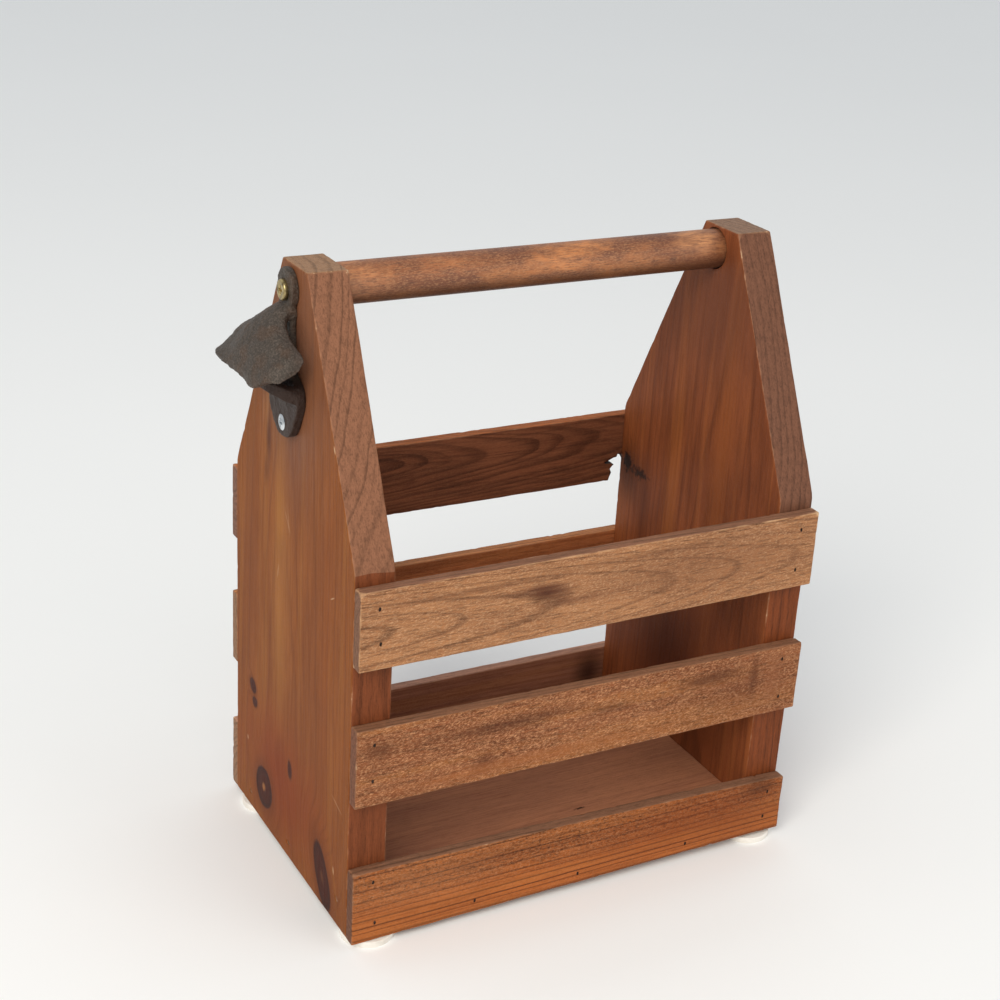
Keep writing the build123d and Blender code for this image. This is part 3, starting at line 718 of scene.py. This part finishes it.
def pin_points(node, axis, outward):
    """The outermost point of each pin of a CAD node: the middle of its head's top."""
    mesh = merged(node)
    left, points = set(mesh.verts), []
    while left:
        island, edge_of = set(), [next(iter(left))]
        while edge_of:
            vert = edge_of.pop()
            if vert not in island:
                island.add(vert)
                edge_of.extend(e.other_vert(vert) for e in vert.link_edges)
        left -= island
        co = np.array([v.co for v in island]) / MM
        low, high = co.min(0), co.max(0)
        middle = (low + high) / 2
        middle[axis] = high[axis] if outward > 0 else low[axis]
        points.append(tuple(middle))
    mesh.free()
    return sorted(points)


def pins(name, node, axis, outward, sizes, steel, seed):
    """The pins of one node, and the points that their holes are cut at."""
    points = pin_points(node, axis, outward)
    piece = grown(name, PINS, {"Facing": FACINGS[axis, outward], "Seed": seed,
                               "Tilt": PIN_TILT, "Steel": steel, **sizes}, points)
    finish_piece(piece, "nail_steel", node)
    return points


def cut_holes(piece, points, axis, outward, mouth, depth, wall, seed, stretch=(1.0, 1.0, 1.0)):
    """Cut the holes at some pins."""
    lifted = [tuple(p[i] + (outward * depth if i == axis else 0) for i in range(3))
              for p in points]
    cut(piece, grown("holes", HOLES, {
        "Facing": FACINGS[axis, outward], "Mouth diameter": mouth, "Depth": depth, "Seed": seed,
        "Wall": wall, "Stretch": stretch}, lifted))


def sawn_board(name, node, cells, wood, seed, sizes):
    """A board over a CAD node, with so many cells along each axis."""
    low, high = corners(node)
    counts = {f"Cells {axis}": count for axis, count in zip("XYZ", cells)}
    return grown(name, BOARD, {"Low": tuple(low), "High": tuple(high), "Seed": float(seed),
                               "Wood": wood, **counts, **sizes})


def panel(side, seed, material):
    """One end panel, with its nails and their holes."""
    node = f"end_panel_{side}"
    outward = -1 if side == "left" else 1
    points = pins(f"{side}_panel_nails", f"panel_nails_{side}", 0, outward, NAIL_SIZES,
                  COATED_STEEL, seed)
    piece = sawn_board(f"{side}_end_panel", node, (16, 84, 170), material, seed, {
        "Edge round": 0.75, "Chips": 1.0, "Bow": 0.7, "Relief": 0.12,
        "Fibre scale": (0.5, 0.5, 0.03), "Shoulder": SHOULDER, "Taper": TAPER,
        "Grain": ALONG_Z, "Narrow": ALONG_Y})
    cut_holes(piece, points, 0, outward, 3.1, 0.32, material, seed)
    finish_piece(piece, "stained_pine", node)
    return piece


def slat(side, level, seed, material, low_shift=(0, 0), high_shift=(0, 0), top_bow=0.0,
         chips=0.9, relief=0.22):
    """One slat, with its brads and their holes."""
    outward = -1 if side == "front" else 1
    points = pins(f"{side}_{level}_brads", f"{side}_brads_{level}", 1, outward, BRAD_SIZES,
                  NAIL_STEEL, seed)
    piece = sawn_board(f"{side}_{level}_slat", f"{side}_slat_{level}", (150, 8, 32), material,
                       seed, {
        "Edge round": 0.8, "Chips": chips, "Bow": 0.5, "Relief": relief,
        "Fibre scale": (0.06, 0.55, 0.55), "Grain": ALONG_X, "Narrow": ALONG_Z,
        "Low shift": (*low_shift, 0.0), "High shift": (*high_shift, 0.0), "Top bow": top_bow})
    # The brad holes' walls are nearly black: painted shade inside the holes
    cut_holes(piece, points, 1, outward, 1.8, 0.45, CRUSHED_AND_SHADED, seed, (0.8, 1.3, 1.0))
    return piece


left_wood = stained_board(
    "stained_pine_left_panel", "ZYX", (left_low + left_high) / 2, pith=(11, 50, 0.05),
    spacing=4.4, figure=0.5, line=0.6, sawn=0.08, seed=1.0, wander=7.0, step=34.5,
    streaky=0.25, fine=0.7, fibrous=0.35,
    early="#894c19", late="#5f2f0d", stain="#67310d", pale="#9a6328", fleck="#9c6538",
    knot="#3d0f03", narrow="#825841", narrow_low="#703b21", end="#967458",
    marks=(
        # Painted shadow: the first mark, greyish brown over the upper part around the opener
        (112, 0, 75, 45, "#6f564c", 0.5), (20, 52, 120, 9, "#6c3717", 0.4),
        # Painted shade and a redder stain: the first mark here, deep red brown over the lower part
        (-112, 10, 40, 60, "#762900", 0.68), (-10, 12, 75, 14, "#a26a34", 0.40),
        (26, 14, 20, 6, "#a9712f", 0.3), (-45, 13, 34, 6, "#a06a2c", 0.25),
        (-20, -42, 110, 9, "#81400f", 0.3), (60, 29, 15, 3.5, "#4c2413", 0.8),
        (42, 31, 8, 4, "#532814", 0.5), (74, 31, 14, 2.2, "#a9744a", 0.4),
        (72, 36, 9, 1.6, "#a9744a", 0.35)),
    knots=((-128.6, 32, 11, 10, 7, 0.0, 0.8), (-78.5, 47, 3.6, 4.4, 4, 0.0, 0.0),
           (-86, 44, 2.6, 3.2, 3, 0.3, 0.0), (-99, -1.6, 4, 2.2, 3, 0.0, 0.0),
           (-133, -42, 17, 8.2, 8, 0.5, 0.15)),
    scratch_depth=-9.5,
    scratches=((-83, -50, -88, -64, 0.7, 0.3), (34, 9.5, 22, 0, 0.7, 0.25),
               (12, -45, 15, -50, 0.9, 0.4), (-6, 17, 3, 15, 0.8, 0.35),
               (36, 5, 20, 2, 0.7, 0.2), (-120, -54, -125, -55, 1.4, 0.5),
               (-110, 55, -113, 54, 1.6, 0.4), (84, -45, 80, -47, 1.2, 0.6)))
right_wood = stained_board(
    "stained_pine_right_panel", "ZYX", (right_low + right_high) / 2, pith=(-25, 70, 0.03),
    spacing=3.4, figure=0.45, line=0.5, sawn=0.05, sheen=0.05, seed=4.0, wander=6.0, step=26.0,
    fine=0.6, streaky=0.35, fibrous=0.3,
    early="#894a29", late="#4f2613", stain="#532713", pale="#a35e32", narrow="#6c4836",
    narrow_low="#72391a", end="#886b56",
    marks=((0, 20, 100, 7, "#a8612a", 0.4), (40, -20, 110, 9, "#9c5726", 0.35),
           (-85, 10, 50, 44, "#3e1603", 0.8), (-20, 45, 50, 6, "#401b0b", 0.4),
           (-2, 62, 20, 16, 0.0, -9.5, 9.0, "#3a1a0c", 0.75), (112, 0, 40, 50, "#6a3c26", 0.5)),
    cracks=((4, 63, 8, 9, 0.0, -9.5, 5.0, "#1a0c06"), (2, 50, 5, 12, 0.0, -9.5, 5.0, "#241209")))
base_wood = stained_board(
    "stained_pine_base", "XYZ", (base_low + base_high) / 2, pith=(10, 60, 0.02), spacing=3.0,
    early="#b67a58", late="#8f5d43", stain="#8a5945", pale="#c2855f", figure=0.35,
    sawn=0.2, seed=7.0,
    cracks=((19, -43.7, 5, 1.6, "#24120b"), (-81, -23, 5, 1.8, "#3a2016")))

left_panel, right_panel = panel("left", 3, left_wood), panel("right", 5, right_wood)
base_piece = sawn_board("base_plank", "base_board", (120, 90, 14), base_wood, 11, {
    "Edge round": 0.5, "Chips": 0.5, "Bow": 0.4, "Relief": 0.15,
    "Fibre scale": (0.04, 0.5, 0.5), "Grain": ALONG_X, "Narrow": ALONG_Y})
finish_piece(base_piece, "stained_pine", "base_board")

slat_looks = {
    ("front", "top"): dict(
        pith=(-2, 26.5, 0.06), spacing=2.7, figure=0.35, line=0.72, sawn=0.60, sheen=0.0,
        lined=0.35, wear=0.8, wander=2.5,
        early="#b17b52", late="#6e4430", stain="#81543a", fleck="#ddab81", pale="#bd875c",
        narrow="#8d634c", end="#825e4a", worn="#c79a72",
        marks=((-28, 3, 9, 4, "#4f2b1e", 0.9), (-33, 5, 16, 3, "#5b3425", 0.7),
               (-20, 1, 7, 5, "#5b3425", 0.6), (-14, -3, 20, 2, "#633b2b", 0.5),
               (60, 0, 60, 14, "#7d5036", 0.35), (-60, 11, 50, 2, "#69412c", 0.5),
               (30, 13, 60, 2, "#69412c", 0.4))),
    ("front", "middle"): dict(
        pith=(-10, 50, 0.04), spacing=2.4, figure=0.4, line=0.5, sawn=0.70, sheen=0.0,
        pitted=0.5, fibrous=0.65, fine=0.7, streaky=0.4,
        early="#9a5d3a", late="#6d3d24", stain="#703d24", fleck="#eaac7c", narrow="#91654a",
        end="#835844",
        marks=((-45, 8, 45, 4, "#4d291b", 0.6), (66, 8, 20, 4, "#4d291b", 0.65),
               (-108, 9, 9, 5, "#542e1d", 0.6), (-55, -9, 8, 5, "#593120", 0.55),
               (92, 3, 3, 12, "#542e1d", 0.6), (104, 0, 6, 16, "#a36744", 0.45),
               (-30, -13, 80, 4, "#a86438", 0.5), (10, 4, 14, 3, "#522e1d", 0.5),
               (85, 0, 40, 20, "#6a3c26", 0.35))),
    ("front", "bottom"): dict(
        pith=(60, 30, 0.01), spacing=3.0, figure=0.95, line=0.60, sawn=0.55, pitted=1.0,
        rough_over=(-6, 4), sheen=0.0, lined=0.4,
        early="#b0632f", late="#381a0c", stain="#7f401d", fleck="#cd9368", narrow="#886048",
        end="#6c4a3a",
        marks=((70, 4, 60, 16, "#74300f", 0.45), (104, 10, 12, 6, "#48281a", 0.6),
               (-40, 9, 70, 4, "#4a2212", 0.3), (-85, 6, 45, 14, "#b07c56", 0.2))),
    ("back", "top"): dict(
        pith=(8, 12, 0.12), spacing=2.3, figure=0.6, sawn=0.12, wander=9.0, lined=0.2,
        fine=0.6, fibrous=0.6, sheen=0.0, marks=((-95, 0, 34, 30, "#6e5040", 0.45),),
        early="#804c33", late="#351a10", stain="#46271b", pale="#8e583d", narrow="#ab6439",
        end="#7a5646"),
    ("back", "middle"): dict(
        pith=(20, 40, 0.02), spacing=2.6, figure=0.5, sawn=0.3,
        early="#ae673d", late="#6d381e", stain="#7c4225", narrow="#c08052"),
    ("back", "bottom"): dict(
        pith=(-30, 36, 0.03), spacing=3.0, figure=0.5, sawn=0.2,
        early="#a67158", late="#764935", stain="#734937", narrow="#b88870",
        marks=((91, 4, 11, 15, 0.0, -3.2, 3.0, "#2f1810", 0.85),)),
}
slat_shapes = {
    ("front", "middle"): dict(high_shift=(1.2, -1.7)),
    ("front", "bottom"): dict(low_shift=(0, 2.1), high_shift=(-0.3, -5.7), top_bow=1.0,
                              chips=1.6, relief=0.3),
}

# The broken corner's outline: shares of its length from the panel, and of the slat's width
BREAK_SHARES = (
    (-0.70, 0.0), (-0.62, 0.07), (-0.56, 0.13), (-0.60, 0.155), (-0.65, 0.18), (-0.50, 0.225),
    (-0.40, 0.24), (-0.62, 0.262), (-0.97, 0.27), (-1.0, 0.30), (-0.84, 0.305), (-0.69, 0.32),
    (-0.46, 0.345), (-0.26, 0.355), (-0.22, 0.395), (-0.05, 0.39), (0.10, 0.40), (0.45, 0.25),
    (0.50, 0.0),
)
BREAK_LENGTH, SLAT_WIDTH = 9.8, 38.0


def torn_corner():
    """A cutter for the slat that is broken away beside the right panel, with torn walls."""
    low, high = corners("back_slat_top")
    outline = [(right_low[0] + a * BREAK_LENGTH, low[2] + u * SLAT_WIDTH)
               for a, u in BREAK_SHARES]
    outline = [(outline[0][0], low[2] - 3)] + outline + [(outline[-1][0], low[2] - 3)]
    mesh = bmesh.new()
    rows = []
    noise.seed_set(8)
    for k, y in enumerate(np.linspace(low[1] - 1, high[1] + 1, 7)):
        rows.append([])
        for i, (x, z) in enumerate(outline):
            shake = noise.noise_vector(Vector((i * 1.7, k * 2.3, 0.5))) * 0.45
            rows[-1].append(mesh.verts.new(Vector((x + shake.x, y, z + shake.z * 0.6)) * MM))
    count = len(outline)
    for near, far in zip(rows, rows[1:]):
        for i in range(count):
            j = (i + 1) % count
            mesh.faces.new((near[i], near[j], far[j], far[i]))
    mesh.faces.new(rows[0][::-1])
    mesh.faces.new(rows[-1])
    bmesh.ops.triangulate(mesh, faces=[f for f in mesh.faces if len(f.verts) > 4])
    bmesh.ops.recalc_face_normals(mesh, faces=mesh.faces)
    cutter = object_from("torn_corner", mesh)
    # The torn walls are nearly black: painted shade in the break
    cutter.data.materials.append(CRUSHED_AND_SHADED)
    return cutter


for seed, ((side, level), looks) in enumerate(slat_looks.items(), start=21):
    low, high = corners(f"{side}_slat_{level}")
    wood = stained_board(f"stained_pine_{side}_{level}", "XZY", (low + high) / 2,
                         seed=seed * 1.3, **looks)
    piece = slat(side, level, seed, wood, **slat_shapes.get((side, level), {}))
    if (side, level) == ("back", "top"):
        cut(piece, torn_corner())
    finish_piece(piece, "stained_pine", f"{side}_slat_{level}")

# ---- the handle

handle_low, handle_high = corners("handle")
handle_y, handle_z = (handle_low[1:] + handle_high[1:]) / 2
handle_width = handle_high[2] - handle_low[2]
SOCKET_PLAY = 0.5
handle_piece = grown("handle_rod", rod_tree(), {
    "Start": (handle_low[0], handle_y, handle_z), "End": (handle_high[0], handle_y, handle_z),
    "Diameter": handle_width - 0.1, "Unevenness": 0.3, "Seed": 2.0, "Wood": stained_dowel()})
finish_piece(handle_piece, "stained_dowel", "handle")

# The socket in each panel's inner face is a little wider than the handle, and its wall is nearly
# black: painted shade in the gap around the handle
for piece, start, end in ((left_panel, handle_low[0], left_high[0] + 2),
                          (right_panel, right_low[0] - 2, handle_high[0])):
    radius = (handle_width / 2 + SOCKET_PLAY) * MM
    shape = bmesh.new()
    bmesh.ops.create_cone(
        shape, cap_ends=True, segments=64, radius1=radius, radius2=radius,
        depth=(end - start) * MM,
        matrix=Matrix.Translation(Vector(((start + end) / 2, handle_y, handle_z)) * MM)
        @ Matrix.Rotation(math.pi / 2, 4, "Y"))
    cutter = object_from("socket", shape)
    cutter.data.materials.append(CRUSHED_AND_SHADED)
    cut(piece, cutter)

# ---- the opener

LEFT_FACE = left_low[0]
opener_low, opener_high = corners("bottle_opener")
opener_y = (opener_low[1] + opener_high[1]) / 2
LIP_Z, HANDLE_Z = 252.5, 290.5
VOXEL = 0.42  # millimetres


def smoothstep(value, start, end):
    """0 at start, 1 at end, and a smooth rise between."""
    share = np.clip((value - start) / (end - start), 0, 1)
    return share * share * (3 - 2 * share)


def vectors(data, what):
    """The vertices' places, or their normals, as rows."""
    values = np.zeros(len(data.vertices) * 3)
    data.vertices.foreach_get(what, values)
    return values.reshape(-1, 3)


def put_back(data, co):
    """Move the vertices to their places in millimetres."""
    data.vertices.foreach_set("co", (co * MM).ravel())


def opener_places(data):
    """Vertices in millimetres, their three distances from the opener's middle, and the hood's."""
    co = vectors(data, "co") / MM
    out, aside, up = LEFT_FACE - co[:, 0], co[:, 1] - opener_y, co[:, 2]
    hood = smoothstep(out, 5, 14) * smoothstep(up, LIP_Z - 1, LIP_Z + 3)
    return co, out, aside, up, np.maximum(hood, smoothstep(out, 18, 20))


def cast_opener():
    """The casting: rounded like poured iron, its lip's corners drawn out, its hood a bit askew."""
    piece = object_from("cast_opener", merged("bottle_opener"))
    modified(piece, "REMESH", mode="VOXEL", voxel_size=VOXEL * MM)
    modified(piece, "SMOOTH", factor=0.5, iterations=2)
    data = settled(piece).data

    # The hood widens to its corners and leans, and its neck is no wider than the plate
    co, out, aside, up, hood = opener_places(data)
    rim = hood * smoothstep(up, LIP_Z + 20, LIP_Z + 5)
    corner = rim * smoothstep(np.abs(aside), 15, 26) * smoothstep(out, 10, 22)
    co[:, 1] += np.where(aside > 0, 4.4, -1.5) * corner
    co[:, 0] -= hood * 0.085 * aside
    co[:, 2] += rim * 0.085 * aside
    neck = smoothstep(out, 8, 4) * smoothstep(up, LIP_Z + 17, LIP_Z + 22)
    spill = np.maximum(np.abs(aside) - 6.9, 0) * (up < HANDLE_Z - 5.5)
    co[:, 1] -= np.sign(aside) * neck * spill
    co[:, 2] += 0.8 * smoothstep(up, HANDLE_Z + 2, HANDLE_Z + 9)
    put_back(data, co)
    modified(piece, "SMOOTH", factor=0.5, iterations=3)
    root = piece.vertex_groups.new(name="root")
    joint = (smoothstep(up, HANDLE_Z - 22, HANDLE_Z - 17)
             * smoothstep(up, HANDLE_Z - 2, HANDLE_Z - 6) * smoothstep(out, 14, 9))
    for i in np.nonzero(joint > 0.01)[0]:
        root.add([int(i)], float(joint[i]), "REPLACE")
    modified(piece, "SMOOTH", factor=0.5, iterations=30, vertex_group="root")
    data = settled(piece).data

    # The lip: scooped between its corners, with a drooping far corner and a wide near one
    co, out, aside, up, hood = opener_places(data)
    rim = hood * smoothstep(up, LIP_Z + 20, LIP_Z + 6)
    near_low = rim * smoothstep(aside, -8, -14) * smoothstep(aside, -23, -17)
    near_end = rim * smoothstep(aside, -15, -25)
    middle = (rim * smoothstep(out, 10, 20) * smoothstep(aside, -24, -2)
              * smoothstep(aside, 20, 10))
    droop = (smoothstep(out, 12, 23) * smoothstep(aside, 4, 17)
             * (1.6 + 2.8 * smoothstep(up, LIP_Z + 4, LIP_Z + 11)))
    tip = smoothstep(out, 12, 23) * smoothstep(aside, 20, 27)
    ear = (smoothstep(aside, -16, -26) * smoothstep(out, 4, 7)
           * smoothstep(up, LIP_Z + 24, LIP_Z + 12))
    co[:, 0] += 1.6 * middle + 0.8 * tip + 1.0 * ear
    co[:, 1] -= 1.4 * ear
    co[:, 2] += 2.8 * near_end - 1.0 * near_low + 1.0 * middle - droop + 0.6 * tip + 1.4 * ear
    put_back(data, co)

    # Lumps left by the sand, but none against the panel
    normals = vectors(data, "normal")
    free = smoothstep(out, 0.3, 1.2)
    for i, place in enumerate(co):
        spot = Vector(place)
        lump = sum(noise.noise(spot * scale) * height
                   for scale, height in ((0.11, 0.3), (0.32, 0.28), (0.8, 0.16)))
        co[i] += normals[i] * lump * free[i]
    co[:, 0] = np.maximum(co[:, 0], opener_low[0])
    put_back(data, co)
    # Painted shade, stored for the material: darkest below the lip, and half as dark on the near
    # side away from the hood
    painted_shade = np.clip(smoothstep(up, LIP_Z + 1, LIP_Z - 2) * 0.85
                    + 0.5 * smoothstep(aside, -6, -14) * (1 - hood), 0, 1)
    data.attributes.new("painted_shade", "FLOAT", "POINT").data.foreach_set("value", painted_shade)
    data.materials.clear()
    data.materials.append(cast_iron())
    data.shade_smooth()
    return piece


finish_piece(cast_opener(), "cast_iron", "bottle_opener")


def softened_copy(node, name, material, width):
    """A node's shape with its sharp edges rounded a little."""
    mesh = merged(node)
    bmesh.ops.dissolve_limit(mesh, angle_limit=math.radians(2), verts=mesh.verts,
                             edges=mesh.edges)
    piece = object_from(name, mesh)
    modified(piece, "BEVEL", width=width * MM, segments=2, limit_method="ANGLE",
             angle_limit=math.radians(35))
    settled(piece)
    piece.data.materials.append(material)
    piece.data.shade_smooth()
    return piece


brass = screw_metal("dull_brass", "#c2ae7c", "#746445", 0.34)
zinc = screw_metal("bright_zinc_plate", "#dfe3e6", "#9aa0a5", 0.28)
felt = wool_felt()
for node, name, material, width, slot in (
        ("opener_screw_upper", "brass_screw", brass, 0.2, "brass"),
        ("opener_screw_lower", "zinc_screw", zinc, 0.15, "zinc_plated_steel"),
        *((f"felt_pad_{place}", f"{place}_pad", felt, 0.4, "felt")
          for place in ("front_left", "front_right", "back_left", "back_right"))):
    finish_piece(softened_copy(node, name, material, width), slot, node)

# ---- floor, light and camera

FLOOR_HALF = 15
floor_mesh = bpy.data.meshes.new("floor")
floor_mesh.from_pydata([(x * FLOOR_HALF, y * FLOOR_HALF, 0) for x, y in
                        ((-1, -1), (1, -1), (1, 1), (-1, 1))], [], [(0, 1, 2, 3)])
floor_mesh.materials.append(painted_floor())
floor = shown("floor", floor_mesh)

world = bpy.data.worlds.new("soft_room")
bpy.context.scene.world = world
world.use_nodes = True
world.node_tree.nodes["Background"].inputs["Color"].default_value = linear("#eef1f4")
world.node_tree.nodes["Background"].inputs["Strength"].default_value = 0.76


def softbox(name, place, target, size, power, code):
    """A square area light at place that faces target."""
    lamp = bpy.data.lights.new(name, "AREA")
    lamp.shape, lamp.size, lamp.energy, lamp.color = "SQUARE", size, power, linear(code)[:3]
    holder = shown(name, lamp)
    holder.location = place
    holder.rotation_euler = (Vector(target) - Vector(place)).to_track_quat("-Z", "Y").to_euler()


softbox("main_light", (-1.5, -1.3, 1.7), (0, 0, 0.12), 1.3, 40, "#fff8ee")
softbox("fill_light", (1.2, -1.8, 0.9), (0, 0, 0.12), 1.4, 9, "#fff4ea")

azimuth, elevation, roll = (math.radians(v) for v in
                            (CAMERA_AZIMUTH, CAMERA_ELEVATION, CAMERA_ROLL))
back = Vector((math.sin(azimuth) * math.cos(elevation),
               -math.cos(azimuth) * math.cos(elevation), math.sin(elevation)))
level = (-back).cross(Vector((0, 0, 1))).normalized()
upright = level.cross(-back)
right = level * math.cos(roll) + upright * math.sin(roll)
up = upright * math.cos(roll) - level * math.sin(roll)
lens = bpy.data.cameras.new("photo_view")
lens.lens, lens.sensor_width = CAMERA_LENS, 36.0
lens.clip_start, lens.clip_end = 0.05, 60.0
camera = shown("photo_view", lens)
turn = Matrix((right, up, back)).transposed().to_4x4()
camera.matrix_world = Matrix.Translation(Vector(CAMERA_PLACE) * MM) @ turn
bpy.context.scene.camera = camera
bpy.context.scene.view_settings.view_transform = "Standard"
